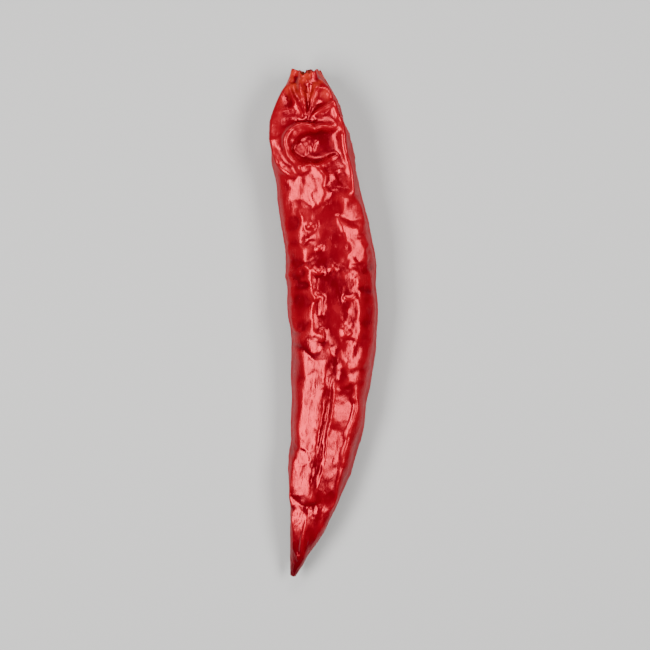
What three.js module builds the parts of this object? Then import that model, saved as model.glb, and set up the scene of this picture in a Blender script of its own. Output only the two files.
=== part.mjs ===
// A dried long chilli pepper, lying on its side, with its stem and calyx pulled off.
// The pod is one piece of leathery skin: a round tapering fruit that bowed, flattened and
// creased as it dried, with a torn, puckered mouth where the stem was.
//
// Units are millimetres. +Z is up and the pod rests on z = 0. +Y points to the stem end and
// -Y to the tip, and the pod bows towards +X. A place on the pod is given by its station,
// a share of the length from the stem end (0) to the tip (1), and its turn, in degrees round
// the section: 0 on the +X flank, 90 on top, 180 on the -X flank and 270 underneath.
import * as THREE from "three";

// Overall sizes
const LENGTH = 100; // stem end to tip, along Y
const WIDTH = 17.7; // across the broadest place
const THICKNESS = 12.2; // from the table to the top at the thickest place
const BOW = 6.9; // how far the middle stands off the straight line between the ends
const TIP_DRIFT = 2.5; // how far the tip lies towards -X from the stem end

// The mouth that the stem left, and the tip
const MOUTH_RADIUS = 2.5; // outside of the rim
const RIM = 0.6; // thickness of the rim
const MOUTH_DEPTH = 5;
const MOUTH_FLOOR_RADIUS = 1.2;
const MOUTH_LIFT = 1.7; // how far the mouth turns up from the shoulder
const MOUTH_PLEATS = 7;
const PLEAT = 0.35; // height of the puckers round the mouth
const PLEAT_REACH = 0.045; // station at which they have faded to a third
const TIP_RADIUS = 0.45;
const TIP_LIFT = 3.2; // how far the tip curls up from the table

// Stations where the neck ends and where the tail starts to curl up
const SHOULDER = 0.2;
const TAIL = 0.62;
const NECK_RISE = 0.72; // share of the neck's narrowing that is on its underside

// The underside is pressed flat where the pod lay as it dried
const PRESSED = 0.45;

// How finely the skin is divided, and how much closer its rings lie at the two ends: 0 is evenly
// spaced, and a lean below 1 draws them towards the mouth
const SIDES = 44;
const RINGS = 96;
const MOUTH_RINGS = 4;
const END_CROWDING = 0.45;
const CROWDING_LEAN = 0.9;
const TIP_ROUNDING = 0.6; // how far the skin's last point stands beyond the tip, in tip radii

const BODY_COLOUR = 0x9c0a10;

// A smooth curve through [station, value] pairs, level with its neighbours at each point.
function through(points) {
  const slope = points.map((_, i) => {
    const [a, b] = [points[Math.max(i - 1, 0)], points[Math.min(i + 1, points.length - 1)]];
    return (b[1] - a[1]) / (b[0] - a[0]);
  });
  return (t) => {
    const last = points.length - 2;
    const found = points.findIndex(([at], i) => i > last || t <= points[i + 1][0]);
    const i = Math.min(Math.max(found, 0), last);
    const [a, b] = [points[i], points[i + 1]];
    const span = b[0] - a[0];
    const u = THREE.MathUtils.clamp((t - a[0]) / span, 0, 1);
    const rise = u * u * (3 - 2 * u);
    const lean = span * (slope[i] * u * (1 - u) ** 2 - slope[i + 1] * u * u * (1 - u));
    return a[1] + (b[1] - a[1]) * rise + lean;
  };
}

// Shares of BOW, of half of WIDTH, and of the section's height to its width
const bowShare = through([[0, 0], [0.16, 0.26], [0.37, 0.85], [0.52, 1], [0.68, 0.91], [0.84, 0.57], [1, 0]]);
const widthShare = through([
  [0, 0], [0.05, 0.44], [0.1, 0.7], [0.17, 0.9], [0.33, 1], [0.55, 0.97], [0.7, 0.8], [0.8, 0.64], [0.87, 0.46],
  [0.94, 0.22], [1, 0],
]);
const flatness = through([[0, 1.3], [0.06, 1.12], [0.17, 1.02], [0.4, 1], [0.65, 0.95], [0.85, 0.98], [1, 1.3]]);

// How square the section is: 2 is an ellipse, and more has a flatter top with sharper edges
const squareness = through([[0, 2.2], [0.06, 2.8], [0.18, 3.0], [0.3, 2.5], [0.6, 2.4], [0.78, 2.6], [1, 2]]);

const halfWidth = (t) =>
  widthShare(t) * (WIDTH / 2 - THREE.MathUtils.lerp(MOUTH_RADIUS, TIP_RADIUS, t)) +
  THREE.MathUtils.lerp(MOUTH_RADIUS, TIP_RADIUS, t);
const halfHeight = (t) => (halfWidth(t) * flatness(t) * THICKNESS) / WIDTH;

// Where the middle of the section lies at a station
function centre(t) {
  const curl = TIP_LIFT * THREE.MathUtils.smoothstep(t, TAIL, 1);
  return new THREE.Vector3(
    BOW * bowShare(t) - TIP_DRIFT * t,
    LENGTH * (0.5 - t),
    halfHeight(t) - PRESSED + curl + neckLift(t),
  );
}

// The neck turns up, and narrows faster on its underside than on its top
function neckLift(t) {
  if (t > SHOULDER) return 0;
  const narrowing = (halfHeight(SHOULDER) - halfHeight(t)) * NECK_RISE;
  return narrowing + MOUTH_LIFT * (1 - t / SHOULDER) ** 2;
}

// The section's own axes: across (to +X), up, and the way the pod runs
function axes(t) {
  const step = 0.004;
  const along = centre(Math.min(t + step, 1)).sub(centre(Math.max(t - step, 0))).normalize();
  const across = new THREE.Vector3(0, 0, 1).cross(along).normalize();
  return { across, up: new THREE.Vector3().crossVectors(along, across) };
}

// Folds and hollows that the drying skin fell into. Station and turn place the middle; long is
// the half length along the pod in mm, round the half arc in degrees, and rise its height in mm.
const FOLDS = [
  { name: "hollow behind the mouth", station: 0.068, turn: 84, long: 3.0, round: 24, rise: -1.1 },
  { name: "shoulder dent", station: 0.162, turn: 84, long: 3.4, round: 46, rise: -1.0 },
  { name: "lip before the dent", station: 0.118, turn: 96, long: 1.3, round: 40, rise: 0.55 },
  { name: "lip behind the dent", station: 0.207, turn: 88, long: 1.6, round: 36, rise: 0.5 },
  { name: "edge of the +X shoulder", station: 0.14, turn: 31, long: 10, round: 11, rise: 0.6 },
  { name: "edge of the -X shoulder", station: 0.11, turn: 150, long: 9, round: 11, rise: 0.6 },
  { name: "hollow of the +X flank", station: 0.31, turn: 2, long: 15, round: 24, rise: -0.35 },
  { name: "hollow of the -X flank", station: 0.27, turn: 186, long: 12, round: 22, rise: -0.4 },
  { name: "shallow cross crease", station: 0.36, turn: 78, long: 1.6, round: 34, rise: -0.2 },
  { name: "deep cross crease", station: 0.445, turn: 92, long: 1.7, round: 44, rise: -0.3 },
  { name: "lower cross crease", station: 0.53, turn: 96, long: 1.7, round: 40, rise: -0.35 },
  { name: "lengthwise groove", station: 0.73, turn: 82, long: 13, round: 9, rise: -0.7 },
  { name: "fold on the -X side of the groove", station: 0.72, turn: 112, long: 14, round: 16, rise: 0.35 },
  { name: "fold on the +X side of the groove", station: 0.71, turn: 52, long: 12, round: 13, rise: 0.35 },
  { name: "hollow of the +X tail", station: 0.7, turn: 10, long: 14, round: 20, rise: -0.6 },
  { name: "hollow of the -X tail", station: 0.66, turn: 172, long: 12, round: 20, rise: -0.3 },
  { name: "crease before the tip", station: 0.865, turn: 86, long: 1.4, round: 60, rise: -0.5 },
  { name: "hollow underneath the shoulder", station: 0.17, turn: 262, long: 6, round: 30, rise: -0.8 },
  { name: "groove underneath, -X side", station: 0.42, turn: 232, long: 15, round: 13, rise: -0.85 },
  { name: "groove underneath, +X side", station: 0.56, turn: 306, long: 14, round: 13, rise: -0.9 },
  { name: "groove underneath the tail", station: 0.78, turn: 258, long: 9, round: 20, rise: -0.6 },
];

// Slow unevenness of the whole skin: waves along the pod, lobes round it, size in mm and phase
const WAVES = [
  { waves: 3.0, lobes: 2, size: 0.18, phase: 0.4 },
  { waves: 5.5, lobes: 3, size: 0.13, phase: 2.1 },
  { waves: 9.5, lobes: 2, size: 0.08, phase: 4.4 },
  { waves: 13, lobes: 4, size: 0.07, phase: 1.3 },
];

// How far the skin stands out from its smooth section, in mm
function relief(t, turn) {
  let rise = 0;
  for (const fold of FOLDS) {
    const along = ((t - fold.station) * LENGTH) / fold.long;
    const round = ((((turn - fold.turn + 540) % 360) - 180) * Math.PI) / 180;
    rise += fold.rise * Math.exp(-along * along - (round / THREE.MathUtils.degToRad(fold.round)) ** 2);
  }
  for (const wave of WAVES) {
    const angle = THREE.MathUtils.degToRad(turn);
    rise += wave.size * Math.sin(2 * Math.PI * wave.waves * t + wave.lobes * angle + wave.phase);
  }
  const ends = THREE.MathUtils.smoothstep(t, 0, 0.05) * THREE.MathUtils.smoothstep(1 - t, 0, 0.06);
  const pleats = PLEAT * Math.exp(-t / PLEAT_REACH) * Math.cos(MOUTH_PLEATS * THREE.MathUtils.degToRad(turn));
  return rise * ends + pleats;
}

function sectionRadius(t, turn) {
  const angle = THREE.MathUtils.degToRad(turn);
  const power = squareness(t);
  const across = Math.abs(Math.cos(angle) / halfWidth(t)) ** power;
  const upright = Math.abs(Math.sin(angle) / halfHeight(t)) ** power;
  return (across + upright) ** (-1 / power);
}

function place(t, turn, radius) {
  const { across, up } = axes(t);
  const angle = THREE.MathUtils.degToRad(turn);
  return centre(t)
    .addScaledVector(across, radius * Math.cos(angle))
    .addScaledVector(up, radius * Math.sin(angle));
}

function skin(t, turn) {
  const point = place(t, turn, sectionRadius(t, turn) + relief(t, turn));
  point.z = Math.max(point.z, 0);
  return point;
}

// The inside of the mouth, from its floor (0) to its rim (1), with the rim's pleats
function mouthWall(share, turn) {
  const t = ((1 - share) * MOUTH_DEPTH) / LENGTH;
  const radius = THREE.MathUtils.lerp(MOUTH_FLOOR_RADIUS, MOUTH_RADIUS - RIM, share);
  return place(t, turn, radius + relief(0, turn) * share);
}

// The station of a ring that lies a given share of the way through the rings
function ringStation(share) {
  const crowded = (1 - Math.cos(Math.PI * share ** CROWDING_LEAN)) / 2;
  return THREE.MathUtils.lerp(share, crowded, END_CROWDING);
}

// The round pod is a lathe from the mouth's floor, over the rim, to the tip. Each of its points
// then moves to where it lies on the bowed, flattened and creased pod.
function podGeometry() {
  const stations = Array.from({ length: RINGS + 1 }, (_, i) => ringStation(i / RINGS));
  const rows = [{ axis: true, point: () => centre(MOUTH_DEPTH / LENGTH) }];
  for (let i = 0; i <= MOUTH_RINGS; i++) rows.push({ point: (turn) => mouthWall(i / MOUTH_RINGS, turn) });
  for (const t of stations) rows.push({ point: (turn) => skin(t, turn) });
  const beyond = centre(1).sub(centre(0.99)).normalize().multiplyScalar(TIP_RADIUS * TIP_ROUNDING);
  rows.push({ axis: true, point: () => centre(1).add(beyond) });

  const round = rows.map((row, i) => new THREE.Vector2(row.axis ? 0 : 1, i));
  const geometry = new THREE.LatheGeometry(round, SIDES);
  const position = geometry.getAttribute("position");
  for (let side = 0; side <= SIDES; side++) {
    const turn = (360 * (side % SIDES)) / SIDES;
    rows.forEach((row, i) => {
      const { x, y, z } = row.point(turn);
      position.setXYZ(side * rows.length + i, x, y, z);
    });
  }
  geometry.computeVertexNormals();
  return geometry;
}

// Moves the group so that the pod's box is centred over the origin
function centred(group) {
  const middle = new THREE.Box3().setFromObject(group).getCenter(new THREE.Vector3());
  group.position.set(-middle.x, -middle.y, 0);
  return group;
}

const chilli = new THREE.Group();
const pod = new THREE.Mesh(
  podGeometry(),
  new THREE.MeshStandardMaterial({ color: BODY_COLOUR, roughness: 0.38, metalness: 0 }),
);
pod.name = "chilli_pod";
chilli.add(pod);

export default centred(chilli);
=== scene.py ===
"""The look of one dried chilli pepper: a glossy, leathery pod that wrinkled as it dried.

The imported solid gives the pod's size and its broad form. The skin is a sheet laid over that form,
and it dries in three rounds, from coarse to fine: in each, the sheet is given a little more area
than the form under it, so that it buckles into folds and creases of its own. Before the later
rounds the places that dried flat are pressed, and the folds that gather at the stem scar, the
ridges and the creases are drawn on the sheet.
"""

from collections import namedtuple

import bpy
import numpy as np
from mathutils import Matrix, Vector
from mathutils.bvhtree import BVHTree


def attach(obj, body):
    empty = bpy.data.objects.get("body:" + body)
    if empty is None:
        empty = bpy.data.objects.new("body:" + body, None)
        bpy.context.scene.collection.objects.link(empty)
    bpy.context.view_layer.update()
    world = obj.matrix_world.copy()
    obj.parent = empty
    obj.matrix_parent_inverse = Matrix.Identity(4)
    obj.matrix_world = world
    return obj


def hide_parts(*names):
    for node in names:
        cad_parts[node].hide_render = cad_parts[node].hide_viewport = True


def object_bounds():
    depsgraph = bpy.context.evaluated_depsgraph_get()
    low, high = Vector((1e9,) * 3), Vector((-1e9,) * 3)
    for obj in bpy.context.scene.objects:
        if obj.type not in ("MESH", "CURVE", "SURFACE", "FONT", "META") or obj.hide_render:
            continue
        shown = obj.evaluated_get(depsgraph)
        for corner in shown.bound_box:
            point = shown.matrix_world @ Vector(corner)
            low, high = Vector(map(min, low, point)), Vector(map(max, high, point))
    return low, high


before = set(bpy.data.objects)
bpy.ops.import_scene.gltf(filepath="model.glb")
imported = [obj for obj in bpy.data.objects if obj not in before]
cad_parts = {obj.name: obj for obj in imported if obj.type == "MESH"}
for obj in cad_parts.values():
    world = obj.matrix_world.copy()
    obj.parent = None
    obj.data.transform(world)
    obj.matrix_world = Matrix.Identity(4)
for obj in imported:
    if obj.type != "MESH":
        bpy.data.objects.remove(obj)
cad_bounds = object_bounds()

MM = 0.001
NODE = "chilli_pod"
BODY = "root"
SEED = 11

# The sheet of skin is a grid: rings along the pod, from the mouth to the tip, and sides round it.
# Distances along it are in mm from the mouth, and turns are in degrees: 0 is the pod's right side
# as it lies with its mouth away, 90 its top, 180 its left side and 270 its underside.
RINGS = 116  # in the coarsest round, and near twice as many in each round after it
SIDES = 50


# ---------------------------------------------------------------------------------------------
# The form under the skin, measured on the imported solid
# ---------------------------------------------------------------------------------------------

MOUTH_EDGE = 0.45  # mm: a section nearer the end than this misses parts of the rim
TIP_EDGE = 0.5
RAY_REACH = 15.0  # mm, further out than any part of the skin


def mesh_arrays(obj):
    """The points and the triangles of an object's mesh, in mm."""
    mesh = obj.data
    mesh.calc_loop_triangles()
    points = np.array([v.co for v in mesh.vertices], float).reshape(-1, 3) / MM
    corners = np.array([t.vertices[:] for t in mesh.loop_triangles], int)
    return points, corners


def section_middles(points, corners, ys):
    """The middle of the solid's section, in X and Z, on the planes at ys."""
    edges = np.concatenate([corners[:, [0, 1]], corners[:, [1, 2]], corners[:, [2, 0]]])
    a, b = points[edges[:, 0]], points[edges[:, 1]]
    middles = []
    for y in ys:
        crossed = (a[:, 1] - y) * (b[:, 1] - y) < 0
        share = (y - a[crossed, 1]) / (b[crossed, 1] - a[crossed, 1])
        cut = a[crossed] + share[:, None] * (b[crossed] - a[crossed])
        middles.append((cut.min(0) + cut.max(0)) / 2)
    return np.array(middles)


class Spine:
    """The line through the middle of the pod, from the mouth to the tip, and its sections' axes."""

    SECTIONS = 80
    END_MARGIN = 0.6  # mm between the ends of the solid and the first and last section
    DEGREE = 7  # of the polynomials that smooth the middles of the sections
    STEPS = 800  # along the line, to measure its length
    TANGENT_REACH = 0.8  # mm either way along the line, to find its direction

    def __init__(self, points, corners):
        self.low, self.high = points[:, 1].min(), points[:, 1].max()
        ys = np.linspace(self.high - self.END_MARGIN, self.low + self.END_MARGIN, self.SECTIONS)
        middles = section_middles(points, corners, ys)
        self.fits = [np.polyfit(self._unit(ys), middles[:, k], self.DEGREE) for k in (0, 2)]
        self.ys = np.linspace(self.high, self.low, self.STEPS)
        line = self._at_y(self.ys)
        steps = np.linalg.norm(np.diff(line, axis=0), axis=1)
        self.along = np.concatenate([[0], np.cumsum(steps)])
        self.length = float(self.along[-1])

    def _unit(self, ys):
        return (np.asarray(ys) - self.low) / (self.high - self.low) * 2 - 1

    def _at_y(self, ys):
        x, z = (np.polyval(fit, self._unit(ys)) for fit in self.fits)
        return np.stack([x, np.asarray(ys, float), z], axis=-1)

    def at(self, distance):
        return self._at_y(np.interp(distance, self.along, self.ys))

    def axes(self, distance):
        """The directions across the pod and up from it."""
        before = self.at(np.clip(distance - self.TANGENT_REACH, 0, self.length))
        along = self.at(np.clip(distance + self.TANGENT_REACH, 0, self.length)) - before
        along /= np.linalg.norm(along, axis=-1, keepdims=True)
        across = np.cross([0.0, 0.0, 1.0], along)
        across /= np.linalg.norm(across, axis=-1, keepdims=True)
        return across, np.cross(along, across)


def radii_of(tree, middles, ways, turns):
    """How far the solid's outside lies from each middle, along each way out of it."""
    radii = np.full(ways.shape[:2], np.nan)
    for i, middle in enumerate(middles):
        for j, way in enumerate(ways[i]):
            hit = tree.ray_cast(Vector(middle + way * RAY_REACH), Vector(-way), RAY_REACH)
            if hit[0] is not None:
                radii[i, j] = RAY_REACH - hit[3]
        missed = np.isnan(radii[i])
        if missed.any():
            found = turns[~missed], radii[i, ~missed]
            radii[i, missed] = np.interp(turns[missed], *found, period=2 * np.pi)
    return radii


def form_under_skin(node):
    """The solid's outside as a sheet, and the pod's spine."""
    points, corners = mesh_arrays(node)
    spine = Spine(points, corners)
    tree = BVHTree.FromPolygons([Vector(p) for p in points], corners.tolist())
    distances = np.linspace(MOUTH_EDGE, spine.length - TIP_EDGE, RINGS)
    turns = np.arange(SIDES) * 2 * np.pi / SIDES
    across, up = spine.axes(distances)
    middles = spine.at(distances)
    ways = across[:, None] * np.cos(turns)[:, None] + up[:, None] * np.sin(turns)[:, None]
    radii = smooth_grid(radii_of(tree, middles, ways, turns)[..., None], 0.5)
    return Sheet(middles[:, None] + ways * radii, distances, turns), spine


# ---------------------------------------------------------------------------------------------
# Grids: rings along axis 0, and closed round axis 1
# ---------------------------------------------------------------------------------------------


def laplacian(grid):
    padded = np.concatenate([grid[:1], grid, grid[-1:]], axis=0)
    along = padded[2:] + padded[:-2] - 2 * grid
    around = np.roll(grid, 1, axis=1) + np.roll(grid, -1, axis=1) - 2 * grid
    return along + around


def smooth_grid(grid, amount):
    return grid + amount / 4 * laplacian(grid)


def finer(grid):
    """The grid with a point added between each two, on the cubic through their neighbours."""
    before, after = np.roll(grid, 1, axis=1), np.roll(grid, -1, axis=1)
    between = (9 * (grid + after) - before - np.roll(grid, -2, axis=1)) / 16
    wide = np.empty((grid.shape[0], grid.shape[1] * 2, grid.shape[2]), grid.dtype)
    wide[:, 0::2], wide[:, 1::2] = grid, between
    ends = np.concatenate([2 * wide[:1] - wide[1:2], wide, 2 * wide[-1:] - wide[-2:-1]])
    between = (9 * (ends[1:-2] + ends[2:-1]) - ends[:-3] - ends[3:]) / 16
    tall = np.empty((wide.shape[0] * 2 - 1, *wide.shape[1:]), grid.dtype)
    tall[0::2], tall[1::2] = wide, between
    return tall


def normals_of(grid):
    along = np.empty_like(grid)
    along[1:-1] = grid[2:] - grid[:-2]
    along[0], along[-1] = grid[1] - grid[0], grid[-1] - grid[-2]
    around = np.roll(grid, -1, axis=1) - np.roll(grid, 1, axis=1)
    normal = np.cross(around, along)
    return normal / np.maximum(np.linalg.norm(normal, axis=-1, keepdims=True), 1e-9)


class Sheet:
    """The skin's grid of points, with each ring's distance from the mouth and each side's turn."""

    def __init__(self, points, distances, turns):
        self.points, self.distances, self.turns = points, distances, turns

    def shape(self):
        return self.points.shape[:2]

    def refine(self):
        self.points = finer(self.points)
        rings = np.arange(len(self.distances))
        halves = np.arange(len(self.distances) * 2 - 1) / 2
        self.distances = np.interp(halves, rings, self.distances)
        self.turns = np.arange(len(self.turns) * 2) * np.pi / len(self.turns)

    def girth(self):
        """The radius, in mm, of a round section as big as each ring."""
        around = np.linalg.norm(np.roll(self.points, -1, axis=1) - self.points, axis=-1)
        return around.sum(1) / (2 * np.pi)

    def raise_by(self, height):
        """Moves each point out of the sheet by its height in mm."""
        self.points += normals_of(self.points) * height[..., None]


# ---------------------------------------------------------------------------------------------
# Drying: the skin buckles over the form
# ---------------------------------------------------------------------------------------------

STIFFNESS = 0.008  # how strongly each pass evens out the bends
SINK_EASE = 1.6  # how much more easily the skin sinks than rises


def lengths(a, b):
    return np.linalg.norm(b - a, axis=-1)


def rest_lengths(grid, grow_along, grow_round):
    """The lengths that the sheet's threads want: along, round and on the two diagonals."""
    slant = (grow_along + grow_round) / 2
    right, below = np.roll(grid, -1, axis=1), grid[1:]
    rest = {
        "along": lengths(grid[:-1], below) * (1 + grow_along[:-1]),
        "round": lengths(grid, right) * (1 + grow_round),
        "right": lengths(grid[:-1], np.roll(below, -1, axis=1)) * (1 + slant[:-1]),
        "left": lengths(grid[:-1], np.roll(below, 1, axis=1)) * (1 + slant[:-1]),
    }
    return {name: value.astype(np.float32) for name, value in rest.items()}


def correction(a, b, rest):
    """Half the way that takes a thread from a to b to its own length."""
    gap = b - a
    length = np.sqrt(np.einsum("ijk,ijk->ij", gap, gap)) + 1e-9
    return gap * (0.5 - 0.5 * rest / length)[..., None]


def pull_threads(points, rest):
    """One pass that moves the ends of each thread to its own length."""
    for start in (0, 1):
        a, b = points[start:-1:2], points[start + 1 :: 2]
        move = correction(a, b, rest["along"][start::2])
        a += move
        b -= move
    for shift, name in ((-1, "right"), (1, "left")):
        for start in (0, 1):
            a = points[start:-1:2]
            b = np.roll(points[start + 1 :: 2], shift, axis=1)
            move = correction(a, b, rest[name][start::2])
            a += move
            points[start + 1 :: 2] -= np.roll(move, -shift, axis=1)
    a, b = points[:, 0::2], points[:, 1::2]
    move = correction(a, b, rest["round"][:, 0::2])
    a += move
    b -= move
    a, b = points[:, 1::2], np.roll(points[:, 0::2], -1, axis=1)
    move = correction(a, b, rest["round"][:, 1::2])
    a += move
    points[:, 0::2] -= np.roll(move, 1, axis=1)


def uneven(shape, fold_cells, seed):
    """Smooth random bumps about one fold wide, which start the buckling."""
    random = np.random.default_rng(seed)
    bumps = random.normal(0, 1, shape).astype(np.float32)[..., None]
    for _ in range(int(fold_cells)):
        bumps = smooth_grid(bumps, 1.0)
    return bumps / bumps.std()


def dry(form, grow_along, grow_round, fold_cells, steps, noise, seed):
    """Buckles a sheet that starts on the form. fold_cells is the usual width of a fold, in cells
    of the grid, and noise is the height of the first bumps, in mm."""
    hold = STIFFNESS / (fold_cells / (2 * np.pi)) ** 4
    normal = normals_of(form).astype(np.float32)
    rest = rest_lengths(form, grow_along, grow_round)
    form = form.astype(np.float32)
    points = form + normal * uneven(form.shape[:2], fold_cells, seed) * np.float32(noise)
    for _ in range(steps):
        pull_threads(points, rest)
        away = points - form
        away -= STIFFNESS * laplacian(laplacian(away))
        out = np.einsum("ijk,ijk->ij", away, normal)
        firm = np.where(out > 0, hold * SINK_EASE, hold / SINK_EASE)
        sideways = away - out[..., None] * normal
        away -= (firm * out)[..., None] * normal + hold * sideways
        points = form + away.astype(np.float32)
        points[..., 2] = np.maximum(points[..., 2], 0)
    return points.astype(float)


# ---------------------------------------------------------------------------------------------
# Soft steps, noise and cells over the sheet
# ---------------------------------------------------------------------------------------------


def bump_share(value, middle, spread):
    return np.exp(-(((value - middle) / spread) ** 2))


def step_share(value, middle, spread):
    return 1 / (1 + np.exp(-(value - middle) / spread))


def ease(share):
    """0 to 1 with a level start and end."""
    return share * share * (3 - 2 * share)


def degrees_from(turns, turn):
    """How far each turn, in degrees, lies from one of them: -180 to 180."""
    return (turns - turn + 180) % 360 - 180


def cloud(shape, size, seed, octaves=2):
    """Smooth noise over the grid, from about -1 to 1, with patches of about size points."""
    random = np.random.default_rng(seed)
    rings, sides = shape
    total = np.zeros(shape)
    for octave in range(octaves):
        patch = size / 2**octave
        rows, columns = max(4, round(rings / patch)), max(3, round(sides / patch))
        knots = random.normal(0, 1, (rows + 3, columns))
        y = np.linspace(0, rows - 1, rings)
        x = np.arange(sides) / sides * columns
        i, j = np.floor(y).astype(int), np.floor(x).astype(int)
        down, right = ease((y - i)[:, None]), ease((x - j)[None, :])
        corner = [knots[np.ix_(i + di, (j + dj) % columns)] for di in (0, 1) for dj in (0, 1)]
        near = corner[0] * (1 - right) + corner[1] * right
        far = corner[2] * (1 - right) + corner[3] * right
        total += (near * (1 - down) + far * down) / 2**octave
    return total / total.std() / 2


CELL_SHIFT = 0.45  # how far a cell's middle strays along the pod, as a share of its length
CELL_WARP = 12  # points, the size of the noise that bends the cells' edges
CELL_WARP_LENGTH = 0.35  # of a cell's length
CELL_WARP_TURN = 0.02  # of a turn
CELL_SEARCH = 2.2  # cell lengths that a cell can reach
CELL_EDGE = 0.6  # the usual distance from a cell's middle to its edge


def cell_middles(sheet, length, width, seed):
    """Scattered middles, about length mm apart along the sheet and width mm round it."""
    random = np.random.default_rng(seed)
    girth = sheet.girth()
    span = sheet.distances[-1]
    rows = int(span / length)
    middles = []
    for i in range(rows):
        at = (i + 0.5) * span / rows
        round_it = np.interp(at, sheet.distances, girth) * 2 * np.pi
        count = max(3, round(round_it / width))
        for j in range(count):
            shift = random.uniform(-CELL_SHIFT, CELL_SHIFT) * length
            middles.append((at + shift, (j + random.uniform(0, 1)) / count))
    return middles


def cells(sheet, length, width, seed):
    """How far each point lies from the middle of its cell: 0 there, and 1 at a usual edge."""
    warp_along = cloud(sheet.shape(), CELL_WARP, seed + 1)
    warp_round = cloud(sheet.shape(), CELL_WARP, seed + 2)
    along = sheet.distances[:, None] + warp_along * length * CELL_WARP_LENGTH
    turn = sheet.turns[None, :] / (2 * np.pi) + warp_round * CELL_WARP_TURN
    round_it = sheet.girth()[:, None] * 2 * np.pi
    best = np.full(sheet.shape(), np.inf)
    for at, share in cell_middles(sheet, length, width, seed):
        near = np.abs(sheet.distances - at) < length * CELL_SEARCH
        away = (turn[near] - share + 0.5) % 1 - 0.5
        gap = ((along[near] - at) / length) ** 2 + (away * round_it[near] / width) ** 2
        best[near] = np.minimum(best[near], gap)
    return np.sqrt(np.minimum(best, 1.5)) / CELL_EDGE


# ---------------------------------------------------------------------------------------------
# The hollows, ridges and creases that are drawn on the sheet
# ---------------------------------------------------------------------------------------------

# Hollows that the skin sank into. Each has its place (mm from the mouth and turn), its half
# length along the pod and half width round it, its depth and its edge's height, in mm.
HOLLOWS = (
    (10.6, 95, 1.0, 2.4, 0.40, 0.0),  # the pit where the pleats meet
    (15.8, 80, 3.6, 6.8, 0.35, 0.0),  # the crater behind it
    (22.8, 48, 2.4, 1.8, 0.16, 0.03),
    (16.0, 250, 5.0, 5.0, 0.60, 0.15),  # under the pod
    (30.0, 300, 8.0, 3.4, 0.45, 0.10),
    (62.0, 245, 12.0, 3.0, 0.45, 0.10),
)
HOLLOW_FLOOR = 0.55  # the share of a hollow where its wall starts
HOLLOW_EDGE = 0.55  # mm, the width of its edge
SLENDER = 2.5  # a hollow this many times as long as it is wide fades out at its ends

# Ridges, and creases where the height is below 0: height and width in mm, then the places that
# the line runs through (mm from the mouth and turn).
RIDGES = (
    # the pleats that meet in the pit
    (0.45, 0.50, ((1.5, 114), (5.0, 106), (9.4, 97))),
    (0.36, 0.50, ((3.0, 142), (6.0, 124), (9.8, 102))),
    (0.36, 0.50, ((3.0, 62), (6.5, 76), (9.6, 92))),
    (0.50, 0.50, ((7.0, 38), (8.6, 58), (10.2, 88))),
    # the ring round the crater, and the line inside it
    (
        0.60,
        0.60,
        (
            (15.4, 137), (12.9, 130), (11.7, 115), (11.5, 100),
            (11.9, 88), (12.5, 79), (12.1, 66), (12.8, 38),
        ),
    ),
    (0.55, 0.60, ((12.2, 122), (14.2, 133), (17.0, 132), (19.6, 118), (21.0, 112))),
    (0.50, 0.60, ((19.8, 124), (19.6, 102), (20.1, 84), (19.4, 66), (18.0, 44))),
    (0.28, 0.50, ((15.9, 101), (15.1, 95), (16.2, 89), (15.2, 82), (15.0, 74))),
    (0.14, 0.50, ((21.4, 104), (24.0, 98), (25.0, 108), (28.0, 104))),
    # the edges of the shoulder, left and right
    (0.48, 0.55, ((1.5, 142), (6.0, 150), (11.0, 153), (15.5, 151), (19.0, 143), (21.5, 126))),
    (0.85, 0.62, ((2.0, 44), (8.0, 40), (13.0, 37), (18.0, 35), (22.5, 35), (26.5, 37))),
    # short wrinkles across the middle
    (0.30, 0.50, ((31.4, 124), (31.0, 116), (31.5, 108))),
    (0.26, 0.50, ((35.2, 114), (35.6, 107), (35.0, 100))),
    (0.34, 0.60, ((39.0, 124), (40.3, 113), (39.4, 103))),
    (0.28, 0.55, ((40.6, 95), (39.5, 87), (40.2, 79))),
    (0.42, 0.70, ((45.4, 126), (45.0, 116), (45.6, 107))),
    (0.30, 0.55, ((45.3, 113), (47.0, 112), (49.0, 114))),
    (0.40, 0.70, ((45.2, 72), (45.6, 60), (45.0, 48))),
    (0.36, 0.65, ((51.0, 112), (52.4, 110), (54.0, 112))),
    (0.38, 0.65, ((51.0, 72), (52.4, 66), (51.8, 56))),
    # the groove along the tail, and the creases beside it
    (-0.45, 0.95, ((55.0, 86), (63.0, 92), (70.0, 95), (78.0, 105), (86.5, 108))),
    (-0.14, 0.50, ((68.0, 60), (71.5, 66), (76.0, 64), (80.0, 72))),
    (-0.12, 0.60, ((55.0, 112), (60.0, 124), (67.0, 134), (75.0, 138))),
    (-0.10, 0.50, ((72.0, 120), (78.0, 126), (84.0, 124))),
    # the crease before the tip, and the ridge on the tip
    (-0.40, 0.50, ((85.4, 165), (87.0, 128), (86.4, 92), (85.2, 52))),
    (0.22, 0.50, ((87.5, 104), (92.5, 102), (98.0, 96))),
)
CROWN = 0.04  # mm2, the square of how round the top of a ridge is
HIGH_RIDGE = 0.25  # mm: ridges higher than this are sharpened in the last round


def offsets(sheet, at, turn):
    """How far each point lies from a place, in mm along the sheet and round it."""
    around = degrees_from(np.degrees(sheet.turns), turn)
    return sheet.distances[:, None] - at, np.radians(around) * sheet.girth()[:, None]


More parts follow.
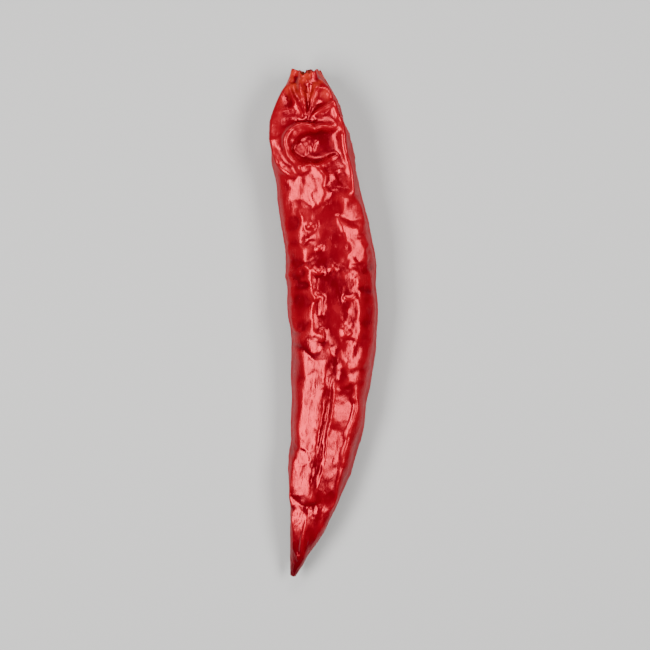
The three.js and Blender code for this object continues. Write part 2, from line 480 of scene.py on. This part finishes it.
def hollow(sheet, at, turn, half_length, half_width, depth, edge):
    """The height, in mm, of a dish with a wall, a waving outline and a raised edge."""
    along, around = offsets(sheet, at, turn)
    wave = cloud(along.shape, 16, int(at * 10)) * 0.25
    share = np.sqrt((along / half_length) ** 2 + (around / half_width) ** 2) + wave
    edge_width = HOLLOW_EDGE / min(half_length, half_width)
    wall = np.clip((1 - share) / (1 - HOLLOW_FLOOR), 0, 1)
    slender = half_length > SLENDER * half_width
    fade = np.clip(1 - (along / half_length) ** 2, 0, 1) ** 1.5 if slender else 1
    dish = -depth * wall * (2 - wall) * fade
    return dish + edge * fade * np.exp(-(((share - 1) / edge_width) ** 2))


def through(places, count):
    """Places on the smooth curve through a few, as (mm along, turn)."""
    knots = np.array(places, float)
    at = np.linspace(0, len(knots) - 1, count)
    ends = np.vstack([2 * knots[0] - knots[1], knots, 2 * knots[-1] - knots[-2]])
    i = np.minimum(at.astype(int), len(knots) - 2)
    u = (at - i)[:, None]
    a, b, c, d = ends[i], ends[i + 1], ends[i + 2], ends[i + 3]
    squared = (2 * a - 5 * b + 4 * c - d) * u**2
    cubed = (3 * b - a - 3 * c + d) * u**3
    return 0.5 * (2 * b + (c - a) * u + squared + cubed)


def ridge(sheet, height, width, places, sharpness):
    """The height, in mm, of a ridge that fades out at the two ends of its line."""
    line = through(places, 10 * (len(places) - 1) + 1)
    girth = sheet.girth()[:, None]
    nearest = np.full(sheet.shape(), np.inf)
    share = np.zeros_like(nearest)
    turns = np.degrees(sheet.turns)
    for k in range(len(line) - 1):
        (at, turn), (at_next, turn_next) = line[k], line[k + 1]
        along = sheet.distances[:, None] - at
        around = np.radians(degrees_from(turns, turn)) * girth
        way = at_next - at, np.radians(turn_next - turn) * girth
        span = way[0] ** 2 + way[1] ** 2
        t = np.clip((along * way[0] + around * way[1]) / span, 0, 1)
        gap = (along - t * way[0]) ** 2 + (around - t * way[1]) ** 2
        closer = gap < nearest
        nearest = np.where(closer, gap, nearest)
        share = np.where(closer, (k + t) / (len(line) - 1), share)
    fade = np.sqrt(np.clip(np.sin(np.pi * share), 0, 1))
    distance = np.sqrt(nearest + CROWN) - CROWN**0.5
    return height * fade * np.exp(-distance / (width / sharpness))


def ridges(sheet, sharpness=1.0, above=-np.inf):
    """The height of all the ridges and creases whose own height is above the given one."""
    return sum(ridge(sheet, *values, sharpness) for values in RIDGES if values[0] > above)


def taken_by_hollows(sheet):
    """1 where a hollow takes up the skin, and 0 where it is free to fold."""
    taken = np.zeros(sheet.shape())
    for at, turn, half_length, half_width, depth, _ in HOLLOWS:
        along, around = offsets(sheet, at, turn)
        inside = np.exp(-((along / half_length) ** 2 + (around / half_width) ** 2))
        taken = np.maximum(taken, inside * min(1, depth * 2.2))
    return taken


# ---------------------------------------------------------------------------------------------
# Places where the skin dried flat
# ---------------------------------------------------------------------------------------------

# Patches. Each has its place (mm from the mouth and turn), its half length along the pod and half
# width round it, how far it leans to the right and towards the mouth, in degrees, and how firmly
# it is pressed: 1 is quite flat, and more than 1 stays flat in the last round too.
FACETS = (
    (16.1, 73, 2.5, 5.8, 0, 0, 0.85),  # the floor of the crater, and the facet on its left
    (16.0, 113, 1.3, 1.7, -17, 2, 1.7),
    (23.0, 116, 2.4, 2.8, -21, 3, 0.8),  # the ragged patch behind the crater
    (25.2, 101, 2.6, 3.2, -18, -1, 0.85),
    (22.4, 94, 1.6, 2.4, -16, 1, 0.85),
    (22.6, 50, 1.3, 1.3, 14, 10, 0.7),  # small ones on the right
    (30.0, 38, 2.0, 1.8, 20, 2, 0.6),
    (66.8, 63, 3.2, 2.4, 17, -7, 1.6),  # where the tail's right side starts
)

# Long flats that follow the pod: where each starts and ends (mm from the mouth, turn and half
# width in mm), how far it leans to the right, in degrees, and how firmly it is pressed.
LONG_FACETS = (
    ((29.0, 92, 4.2), (53.0, 90, 4.6), 0, 0.8),  # the smooth middle
    ((29.0, 141, 1.8), (39.0, 150, 2.2), -38, 0.5),  # its flanks
    ((39.0, 150, 2.2), (51.0, 139, 2.0), -38, 0.5),
    ((41.0, 35, 2.0), (54.0, 36, 2.0), 40, 0.5),
    ((30.0, 60, 0.9), (38.5, 36, 1.5), 19, 0.8),  # the streak that slants across the right
    ((57.0, 120, 3.2), (86.5, 137, 2.1), -17, 0.75),  # the two sides of the tail
    ((62.0, 64, 2.3), (72.0, 66, 2.5), 17, 0.9),
    ((72.0, 66, 2.5), (85.5, 74, 2.1), 18, 0.9),
    ((88.5, 136, 1.6), (96.0, 130, 1.0), -9, 0.8),  # the two sides of the tip
    ((88.5, 76, 1.3), (93.5, 82, 1.0), 20, 0.7),
)
FLAT_EDGE = 0.35  # how far a flat fades out on either side of its edge, as a share of its size
PATCH_RAGGED = 0.3  # how far noise moves the edge, as the same share
STRIP_RAGGED = 0.5
STRIP_BLUNT = 0.8  # the share of a strip's half width that lies beyond its ends
LINE_SMOOTHING = 40  # passes over the line that a strip follows


def flat_mask(share):
    """1 inside a flat, and 0 beyond its edge, where share is 1."""
    return ease(np.clip((1 + FLAT_EDGE - share) / (2 * FLAT_EDGE), 0, 1))


def patch_share(sheet, at, turn, half_length, half_width):
    """How far each point lies from a patch's middle: 1 is its ragged edge."""
    along, around = offsets(sheet, at, turn)
    ragged = cloud(along.shape, 14, int(at * 7), 3) * PATCH_RAGGED
    return np.sqrt((along / half_length) ** 2 + (around / half_width) ** 2) + ragged


def strip_share(sheet, start, end):
    """The same for a long flat, and the turn of its middle on each ring."""
    (start_at, start_turn, start_width), (end_at, end_turn, end_width) = start, end
    passed = np.clip((sheet.distances - start_at) / (end_at - start_at), 0, 1)
    turn = start_turn + (end_turn - start_turn) * passed
    half_width = start_width + (end_width - start_width) * passed
    away = degrees_from(np.degrees(sheet.turns), turn[:, None])
    around = np.radians(away) * sheet.girth()[:, None] / half_width[:, None]
    beyond = np.abs(sheet.distances - (start_at + end_at) / 2) - (end_at - start_at) / 2
    along = np.maximum(STRIP_BLUNT + beyond / half_width, 0)[:, None]
    ragged = cloud(around.shape, 18, int(start_at * 7 + start_turn), 3) * STRIP_RAGGED
    return (along**4 + around**4) ** (1 / 4) + ragged, turn


def press_patch(sheet, at, turn, half_length, half_width, lean_right, lean_to_mouth, firmness):
    """Moves a patch of the sheet up or down onto a leaning plane through its middle."""
    mask = flat_mask(patch_share(sheet, at, turn, half_length, half_width))
    middle = sheet.points[mask > 0.5].mean(0)
    slope = np.tan(np.radians([lean_right, lean_to_mouth]))
    wanted = middle[2] - (sheet.points[..., :2] - middle[:2]) @ slope
    sheet.points[..., 2] += firmness * mask * (wanted - sheet.points[..., 2])


def press_strip(sheet, start, end, lean_right, firmness):
    """The same for a long flat, which keeps the pod's own rise and fall along its length."""
    share, turn = strip_share(sheet, start, end)
    mask = flat_mask(share)
    side = np.round(np.radians(turn) * len(sheet.turns) / (2 * np.pi)).astype(int)
    line = sheet.points[np.arange(len(turn)), side % len(sheet.turns)]
    for _ in range(LINE_SMOOTHING):
        between = (line[:-2] + 2 * line[1:-1] + line[2:]) / 4
        line = np.concatenate([line[:1], between, line[-1:]])
    sideways = sheet.points[..., 0] - line[:, None, 0]
    wanted = line[:, None, 2] - sideways * np.tan(np.radians(lean_right))
    gap = wanted - sheet.points[..., 2]
    gap -= (gap * mask).sum() / mask.sum()
    sheet.points[..., 2] += firmness * mask * gap


def press_flats(sheet, press):
    """Presses every flat, at this share of its own firmness."""
    for start, end, lean_right, firmness in LONG_FACETS:
        press_strip(sheet, start, end, lean_right, min(1, firmness * press))
    for *place_and_lean, firmness in FACETS:
        press_patch(sheet, *place_and_lean, min(1, firmness * press))


def flatness(sheet):
    """1 where the skin is pressed flat, and 0 elsewhere."""
    flat = [flat_mask(patch_share(sheet, *facet[:4])) for facet in FACETS]
    flat += [flat_mask(strip_share(sheet, *facet[:2])[0]) for facet in LONG_FACETS]
    return np.max(flat, axis=0)


# ---------------------------------------------------------------------------------------------
# The rounds of drying
# ---------------------------------------------------------------------------------------------

# Parts of the pod, in mm from the mouth: the middle of each and its spread, or for the tail and
# the wrinkles where they start or end and how gradually
NECK = (5, 5)
SHOULDER = (10, 9)
MIDDLE = (42, 16)
TAIL = (58, 3)
WRINKLES_START = (27, 1.5)
WRINKLES_END = (58, 2.0)
NECK_START = 2  # mm, where the neck's dents have their full depth

WRINKLE_SPACING = 4.6  # mm
WRINKLE_HEIGHT = 0.26  # mm
WRINKLE_WANDER = 0.8  # how far noise moves the wrinkles, in spacings
WRINKLE_LEVEL = 0.64  # the mean of the wave's height, which the skin keeps
CALM_TOP = (90, 26)  # degrees, the middle and the spread of the top, which wrinkles little

# Dents: the height of the skin between their middles in mm, their length along the pod and their
# width round it in mm, and the seed that scatters them
BROAD_DENTS = (0.18, 4.6, 5.6, 5)
TAIL_DENTS = (0.16, 14, 4.2, 6)
NECK_DENTS = (0.12, 3.4, 3.0, 12)
SMALL_DENTS = (0.09, 2.0, 2.4, 8)
DENT_LEVEL = 0.6  # the square of the distance in a dent at which the skin keeps its height
GRAIN_HEIGHT = 0.022  # mm
CALM_FLAT = 0.55  # how much of the dents a flat takes away
SHARPER = 1.8  # how many times as narrow the high ridges are in the last round
SHARP_SHARE = 0.5  # of their height, which is added there


# Where on the pod each point of the sheet is: its distance from the mouth in mm, and shares from
# 0 to 1 for the rest. off_flanks is low only on the two flanks.
Places = namedtuple("Places", "distance shoulder tail off_flanks flat")


def places_on(sheet):
    distance = sheet.distances[:, None] + np.zeros((1, len(sheet.turns)))
    return Places(
        distance=distance,
        shoulder=bump_share(distance, *SHOULDER),
        tail=step_share(distance, *TAIL),
        off_flanks=1 - 0.85 * np.cos(sheet.turns[None, :]) ** 4,
        flat=flatness(sheet),
    )


def wrinkles(sheet):
    """Shallow wrinkles that run round the middle of the pod, deepest on its shoulders."""
    wander = WRINKLE_WANDER * cloud(sheet.shape(), 22, 41, 3)
    phase = sheet.distances[:, None] / WRINKLE_SPACING + wander
    wave = np.abs(np.sin(np.pi * phase)) - WRINKLE_LEVEL
    (start, fade_in), (end, fade_out) = WRINKLES_START, WRINKLES_END
    middle = step_share(sheet.distances, start, fade_in)
    middle = middle * step_share(-sheet.distances, -end, fade_out)
    upper = 1 - 0.75 * bump_share(np.degrees(sheet.turns), *CALM_TOP)
    upper *= np.clip(1.3 * np.sin(sheet.turns), 0, 1)
    patchy = np.clip(1.0 + 0.6 * cloud(sheet.shape(), 18, 42), 0.4, 1.7)
    return WRINKLE_HEIGHT * wave * middle[:, None] * upper[None, :] * patchy


def dents(sheet, height, length, width, seed, share=1):
    """The height, in mm, of cells that sink in their middles, where share turns it down."""
    return height * share * (cells(sheet, length, width, seed) ** 2 - DENT_LEVEL)


def broad_relief(sheet, places):
    """Raises wrinkles, the drawn folds and broad dents between them."""
    sheet.raise_by(wrinkles(sheet))
    drawn = ridges(sheet) + sum(hollow(sheet, *values) for values in HOLLOWS)
    taken = np.maximum(taken_by_hollows(sheet), CALM_FLAT * places.flat)
    lift = dents(sheet, *BROAD_DENTS) * (1 - places.tail)
    lift += dents(sheet, *TAIL_DENTS) * places.tail
    patchy = 0.55 + 0.45 * cloud(sheet.shape(), 26, 7)
    lift *= patchy * (1 - taken) * (0.4 + 0.6 * places.off_flanks)
    neck = bump_share(places.distance, *NECK) * np.clip(places.distance / NECK_START, 0, 1)
    lift += dents(sheet, *NECK_DENTS, share=neck)
    sheet.raise_by(drawn + lift)


def fine_relief(sheet, places):
    """Raises small dents and grain, and sharpens the high ridges."""
    lift = dents(sheet, *SMALL_DENTS)
    lift *= np.clip(0.5 + 0.9 * cloud(sheet.shape(), 50, 9), 0, 2)
    lift *= 1 - places.flat * (0.9 - 0.6 * places.tail)
    lift += GRAIN_HEIGHT * cloud(sheet.shape(), 5, 31)
    lift += SHARP_SHARE * ridges(sheet, sharpness=SHARPER, above=HIGH_RIDGE)
    sheet.raise_by(lift)


# How the skin dries in one round.
#   press: how firmly the flats are pressed before it, as a share of their own firmness
#   relief: what is raised on the sheet before it
#   along, round: how much longer than the form the skin wants to be, along the pod and round it
#   tighten: how much less than that it wants round the tail
#   patch: the size, in points, of the patches that fold more or less
#   calm, calm_on_tail: how much less the flats fold, off the tail and on it
#   fold_cells, steps, noise: see dry
Round = namedtuple(
    "Round", "press relief along round tighten patch calm calm_on_tail fold_cells steps noise"
)
ROUNDS = (
    Round(0.0, None, 0.0025, 0.005, 0.0, 14, 0.6, 0.6, 11, 500, 0.03),
    Round(1.0, broad_relief, 0.010, 0.008, 0.010, 28, 0.75, 0.75, 9, 600, 0.07),
    Round(0.35, fine_relief, 0.007, 0.005, 0.003, 50, 0.5, 0.1, 8, 240, 0.02),
)
PATCH_SEED = 20
LEAST_TIGHT = 0.6  # of the tightening, off the flats


def growth(sheet, places, level):
    """How much longer than the form the skin wants to be at each point, along and round."""
    drying = ROUNDS[level]
    shoulder, tail, flat = places.shoulder, places.tail, places.flat
    calm = drying.calm + (drying.calm_on_tail - drying.calm) * tail
    patch = np.clip(1 + 0.8 * cloud(sheet.shape(), drying.patch, PATCH_SEED + level), 0.1, 2.5)
    patch *= 1 - calm * flat
    middle = bump_share(places.distance, *MIDDLE)
    along = drying.along * (1 + 0.7 * shoulder + 0.2 * middle - 0.5 * tail)
    along *= patch * places.off_flanks
    around = drying.round * (1 + shoulder - 0.6 * tail) * patch * places.off_flanks
    return along, around - drying.tighten * np.maximum(flat, LEAST_TIGHT) * tail


def dry_in_rounds(sheet):
    for level, drying in enumerate(ROUNDS):
        if level > 0:
            sheet.refine()
        places = places_on(sheet)
        if drying.press:
            press_flats(sheet, drying.press)
        if drying.relief:
            drying.relief(sheet, places)
        grown = growth(sheet, places, level)
        settings = drying.fold_cells, drying.steps, drying.noise, SEED + level
        sheet.points = dry(sheet.points, *grown, *settings)


# ---------------------------------------------------------------------------------------------
# The torn mouth
# ---------------------------------------------------------------------------------------------

LIP = 0.3  # mm, the thickness of the torn edge
WALL_DEPTHS = (4.6, 3.9, 3.1, 2.3, 1.6, 1.0, 0.55, 0.25)  # mm, where the mouth's wall has rings
LIP_DEPTH = 0.08  # mm, where the lip has one
LIP_SHARE = 0.55  # of the lip's thickness, how far in from the rim that ring lies
MOUTH_FLOOR = 0.45  # the floor's radius as a share of the rim's
TEAR_REACH = 3.2  # mm, how much of the skin is pulled with the edge
TEAR_NOISE = 0.12  # mm
TEAR_SEED = 3

# How far the torn edge stands out, in mm, at turns round it
TEAR = (
    (0, 0.1), (28, 0.9), (52, 0.5), (72, -0.7), (92, -0.3), (104, -0.9), (126, 0.3),
    (150, 1.0), (176, 0.2), (205, -0.5), (232, 0.4), (258, -0.2), (285, 0.6), (318, -0.4),
)


def even_out(ring, passes):
    """The values round a ring, smoothed."""
    for _ in range(passes):
        ring = (np.roll(ring, 1) + 2 * ring + np.roll(ring, -1)) / 4
    return ring


def tear(turns):
    """How far the edge stands out at each turn, in mm."""
    at, out = np.array(TEAR, float).T
    broad = even_out(np.interp(np.degrees(turns), at, out, period=360), 3)
    random = np.random.default_rng(TEAR_SEED)
    ragged = even_out(np.repeat(random.normal(0, 1, len(turns) // 4), 4), 2)
    return broad + TEAR_NOISE * ragged


def tear_mouth(sheet, spine):
    """Pulls the first rings into a torn edge, and returns the rings of the mouth's wall, from its
    floor to its lip."""
    outward = np.array([0.0, 1.0, 0.0])
    fade = np.clip(1 - sheet.distances / TEAR_REACH, 0, 1) ** 2
    out = tear(sheet.turns)
    sheet.points += outward * fade[:, None, None] * out[None, :, None]
    middle = sheet.points[0].mean(0)
    spokes = sheet.points[0] - middle
    radius = np.linalg.norm(spokes[:, [0, 2]], axis=1, keepdims=True)
    rows = []
    for depth in (*WALL_DEPTHS, LIP_DEPTH):
        sink = depth / WALL_DEPTHS[0]
        inner = (1 - LIP / radius) * (1 - (1 - MOUTH_FLOOR) * sink)
        if depth == LIP_DEPTH:
            inner = 1 - LIP_SHARE * LIP / radius
        ring = middle + spokes * inner
        ring[:, 1] = middle[1] + spokes[:, 1] * (1 - sink) - depth
        shift = spine.at(depth) - spine.at(0)
        ring[:, [0, 2]] += shift[[0, 2]]
        rows.append(ring)
    return np.array(rows)


# ---------------------------------------------------------------------------------------------
# Meshes
# ---------------------------------------------------------------------------------------------

RELIEF_PASSES = 60  # of smoothing, which leave the broad form
FULL_RELIEF = 0.25  # mm above the broad form that count as 1


def link(name, data):
    obj = bpy.data.objects.new(name, data)
    bpy.context.scene.collection.objects.link(obj)
    return obj


def grid_mesh(name, rows):
    """A closed mesh of rings of points, in mm, with one point in the middle of each end."""
    rings, sides = rows.shape[:2]
    ends = rows[0].mean(0), rows[-1].mean(0)
    points = np.concatenate([rows.reshape(-1, 3), ends]) * MM
    first, last = rings * sides, rings * sides + 1
    j = np.arange(sides)
    k = (j + 1) % sides
    faces = []
    for i in range(rings - 1):
        a, b = i * sides, (i + 1) * sides
        faces += np.stack([a + j, a + k, b + k, b + j], 1).tolist()
    faces += np.stack([k, j, np.full(sides, first)], 1).tolist()
    tail = (rings - 1) * sides
    faces += np.stack([tail + j, tail + k, np.full(sides, last)], 1).tolist()
    mesh = bpy.data.meshes.new(name)
    mesh.from_pydata(points.tolist(), [], faces)
    mesh.update()
    mesh.polygons.foreach_set("use_smooth", np.ones(len(mesh.polygons), bool))
    unroll(mesh, rings, sides)
    return link(name, mesh)


def unroll(mesh, rings, sides):
    """UVs that unroll the grid over the unit square."""
    j = np.arange(sides) / sides
    k = j + 1 / sides
    low = (np.arange(rings) + 1) / (rings + 1)
    uvs = []
    for i in range(rings - 1):
        a, b = np.full(sides, low[i]), np.full(sides, low[i + 1])
        uvs.append(np.stack([j, a, k, a, k, b, j, b], 1).reshape(-1, 2))
    a, b = np.full(sides, low[0]), np.zeros(sides)
    uvs.append(np.stack([k, a, j, a, (j + k) / 2, b], 1).reshape(-1, 2))
    a, b = np.full(sides, low[-1]), np.ones(sides)
    uvs.append(np.stack([j, a, k, a, (j + k) / 2, b], 1).reshape(-1, 2))
    layer = mesh.uv_layers.new(name="OFBake")
    layer.data.foreach_set("uv", np.concatenate(uvs).astype(np.float32).ravel())


def store(mesh, name, values):
    attribute = mesh.attributes.new(name, "FLOAT", "POINT")
    attribute.data.foreach_set("value", np.asarray(values, np.float32).ravel())


def relief_of(rows):
    """How far each point stands above the skin round it, in mm."""
    smooth = rows
    for _ in range(RELIEF_PASSES):
        smooth = smooth_grid(smooth, 1.0)
    return np.einsum("ijk,ijk->ij", rows - smooth, normals_of(smooth))


def pod_mesh(sheet, wall):
    """The pod, with the values that its material reads stored on each point."""
    rows = np.concatenate([wall, sheet.points])
    pod = grid_mesh("dried_pod", rows)
    inside = np.zeros(rows.shape[:2])
    inside[: len(wall)] = np.linspace(1, 0, len(wall))[:, None]
    relief = np.clip(relief_of(rows) / FULL_RELIEF, -1, 1)
    relief[: len(wall)] = 0
    distances = np.concatenate([np.zeros(len(wall)), sheet.distances])
    along = distances[:, None] + np.zeros(rows.shape[:2])
    steep = 1 - np.abs(normals_of(rows)[..., 2])
    for name, values, ends in (
        ("inside", inside, (1, 0)),
        ("relief", relief, (0, 0)),
        ("steep", steep, (0, 0)),
        ("from_mouth_mm", along, (0, sheet.distances[-1])),
    ):
        store(pod.data, name, np.concatenate([values.ravel(), ends]))
    return pod


# ---------------------------------------------------------------------------------------------
# Materials
# ---------------------------------------------------------------------------------------------


class Nodes:
    """Short ways to add nodes to a material and to join them."""

    def __init__(self, name):
        self.material = bpy.data.materials.new(name)
        self.material.use_nodes = True
        self.tree = self.material.node_tree
        self.shader = self.tree.nodes["Principled BSDF"]

    def add(self, kind, inputs=None, **settings):
        node = self.tree.nodes.new("ShaderNode" + kind)
        for name, value in settings.items():
            setattr(node, name, value)
        for name, value in (inputs or {}).items():
            self.put(node.inputs[name], value)
        return node

    def put(self, socket, value):
        if isinstance(value, bpy.types.NodeSocket):
            self.tree.links.new(value, socket)
        else:
            socket.default_value = value

    def math(self, operation, a, b=0.0):
        return self.add("Math", {0: a, 1: b}, operation=operation).outputs[0]

    def attribute(self, name):
        return self.add("Attribute", attribute_name=name).outputs["Fac"]

    def where(self, scale):
        place = self.add("TexCoord").outputs["Object"]
        return self.add("Mapping", {"Vector": place, "Scale": scale}).outputs["Vector"]

    def noise(self, size_mm, detail=2, stretch=(1, 1, 1), distortion=0.0):
        inputs = {
            "Vector": self.where(stretch),
            "Scale": 1 / (size_mm * MM),
            "Detail": detail,
            "Roughness": 0.5,
            "Distortion": distortion,
        }
        return self.add("TexNoise", inputs).outputs["Fac"]

    def ramp(self, value, low, high, to_low=0.0, to_high=1.0):
        inputs = {
            "Value": value,
            "From Min": low,
            "From Max": high,
            "To Min": to_low,
            "To Max": to_high,
        }
        return self.add("MapRange", inputs, interpolation_type="SMOOTHSTEP").outputs["Result"]

    def mix(self, share, a, b):
        node = self.add("Mix", data_type="RGBA", blend_type="MIX")
        self.put(node.inputs[0], share)
        self.put(node.inputs[6], a)
        self.put(node.inputs[7], b)
        return node.outputs[2]

    def blend(self, share, strength, a, b):
        """The same, where share is turned down to strength."""
        return self.mix(self.math("MULTIPLY", share, strength), a, b)


DEEP = (0.050, 0.0002, 0.0022, 1)
RED = (0.089, 0.0002, 0.0032, 1)
BRIGHT = (0.131, 0.0005, 0.0040, 1)
ORANGE = (0.240, 0.0120, 0.0040, 1)
MAROON = (0.022, 0.0002, 0.0012, 1)
INSIDE = (0.080, 0.0090, 0.0020, 1)
SHEEN = (0.50, 0.004, 0.010, 1)
HIGHLIGHT = (1.0, 0.054, 0.078, 1)
FLOOR = (0.24, 0.237, 0.233, 1)

# mm from the mouth
ORANGE_GONE = 9.0
ORANGE_FULL = 0.5
TIP_START = 90.0
TIP_FULL = 101.0
BUMP_HEIGHT = 0.12  # mm


def skin_material():
    n = Nodes("dried_skin")
    relief = n.attribute("relief")
    from_mouth = n.attribute("from_mouth_mm")
    inside = n.attribute("inside")
    broad = n.noise(9, 2, (1, 0.6, 1), distortion=0.4)
    small = n.noise(1.6, 3, (1, 0.7, 1))
    fine = n.noise(0.35, 2)

    # Deep red in patches, with painted highlights on the ridges and painted shade in the creases
    colour = n.mix(n.ramp(broad, 0.35, 0.65), DEEP, RED)
    colour = n.blend(n.ramp(small, 0.5, 0.75), 0.45, colour, BRIGHT)
    # Painted highlight: the ridges are made brighter, as if they caught the light
    colour = n.blend(n.ramp(relief, 0.15, 0.9), 0.7, colour, BRIGHT)
    # Painted shade: the creases are made darker, as if shade fell in them
    colour = n.blend(n.ramp(relief, -0.3, -1.0), 0.35, colour, MAROON)

    # More orange round the mouth, darker at the tip, and a few dark specks
    near_mouth = n.ramp(from_mouth, ORANGE_GONE, ORANGE_FULL)
    patchy = n.math("MULTIPLY", near_mouth, n.ramp(small, 0.38, 0.68))
    colour = n.blend(patchy, 0.75, colour, ORANGE)
    colour = n.blend(n.ramp(from_mouth, TIP_START, TIP_FULL), 0.5, colour, MAROON)
    colour = n.blend(n.ramp(fine, 0.70, 0.78), 0.35, colour, MAROON)
    colour = n.mix(n.ramp(inside, 0.02, 0.25), colour, INSIDE)
    n.put(n.shader.inputs["Base Color"], colour)

    # Glossy on top, dull inside the mouth and where the skin is steep
    rough = n.ramp(small, 0.3, 0.7, 0.17, 0.29)
    rough = n.math("ADD", rough, n.ramp(inside, 0.0, 0.3, 0.0, 0.3))
    rough = n.math("ADD", rough, n.ramp(n.attribute("steep"), 0.35, 0.8, 0.0, 0.50))
    n.put(n.shader.inputs["Roughness"], rough)

    striae = n.noise(0.30, 3, (1, 0.25, 1))
    height = n.math("ADD", n.math("MULTIPLY", striae, 0.5), n.math("MULTIPLY", small, 0.8))
    bump = n.add("Bump", {"Height": height, "Strength": 0.5, "Distance": BUMP_HEIGHT * MM})
    n.put(n.shader.inputs["Normal"], bump.outputs["Normal"])
    n.shader.inputs["Sheen Weight"].default_value = 0.5
    n.shader.inputs["Sheen Roughness"].default_value = 0.35
    n.shader.inputs["Sheen Tint"].default_value = SHEEN
    n.shader.inputs["Specular IOR Level"].default_value = 1.0
    n.shader.inputs["Specular Tint"].default_value = HIGHLIGHT
    return n.material


def floor_material():
    n = Nodes("floor")
    n.shader.inputs["Base Color"].default_value = FLOOR
    n.shader.inputs["Roughness"].default_value = 0.9
    return n.material


# ---------------------------------------------------------------------------------------------
# Studio
# ---------------------------------------------------------------------------------------------

HEIGHT_SHARE = 0.80  # of the picture, that the pod takes up
LENS = 85  # mm
WORLD_STRENGTH = 0.095

# In lengths of the pod
FLOOR_SIZE = 40
LAMPS = (
    # name, place from the pod's middle, size, and power in W
    ("left", (-1.8, -0.3, 2.6), (1.1, 2.4), 3.0),
    ("right", (1.8, -0.1, 2.6), (1.1, 2.4), 2.5),
    ("back", (0.0, 2.4, 2.6), (1.8, 0.8), 1.1),
)


def lamp(name, place, aim, size, power):
    """A rectangular lamp at place that faces aim, with its first side level."""
    data = bpy.data.lights.new(name, "AREA")
    data.shape = "RECTANGLE"
    data.size, data.size_y = size
    data.energy = power
    obj = link(name, data)
    obj.location = place
    away = (place - aim).normalized()
    across = Vector((0, 1, 0)).cross(away).normalized()
    if abs(away.x) <= 0.1:  # beyond the pod's end, where Y and away lie nearly in line
        across = Vector((1, 0, 0))
    obj.rotation_euler = Matrix((across, away.cross(across), away)).transposed().to_euler()


def studio(lo, hi):
    """A pale floor, soft lamps at the sides and beyond the mouth, and a camera that looks straight
    down."""
    middle = (lo + hi) / 2
    length = hi.y - lo.y
    bpy.ops.mesh.primitive_plane_add(size=length * FLOOR_SIZE, location=(0, 0, 0))
    floor = bpy.context.object
    floor.name = "floor"
    floor.data.materials.append(floor_material())

    world = bpy.data.worlds.new("studio")
    bpy.context.scene.world = world
    world.use_nodes = True
    backdrop = world.node_tree.nodes["Background"]
    backdrop.inputs["Color"].default_value = (1, 1, 1, 1)
    backdrop.inputs["Strength"].default_value = WORLD_STRENGTH

    for name, place, size, power in LAMPS:
        lamp(name, middle + Vector(place) * length, middle, Vector(size) * length, power)

    data = bpy.data.cameras.new("camera")
    data.lens = LENS
    camera = link("camera", data)
    distance = length / HEIGHT_SHARE * data.lens / data.sensor_width
    camera.location = (middle.x, middle.y, hi.z + distance)
    camera.rotation_euler = (0, 0, 0)
    bpy.context.scene.camera = camera


sheet, spine = form_under_skin(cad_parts[NODE])
dry_in_rounds(sheet)
wall = tear_mouth(sheet, spine)
pod = pod_mesh(sheet, wall)
pod.data.materials.append(skin_material())
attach(pod, BODY)
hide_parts(NODE)
studio(*cad_bounds)
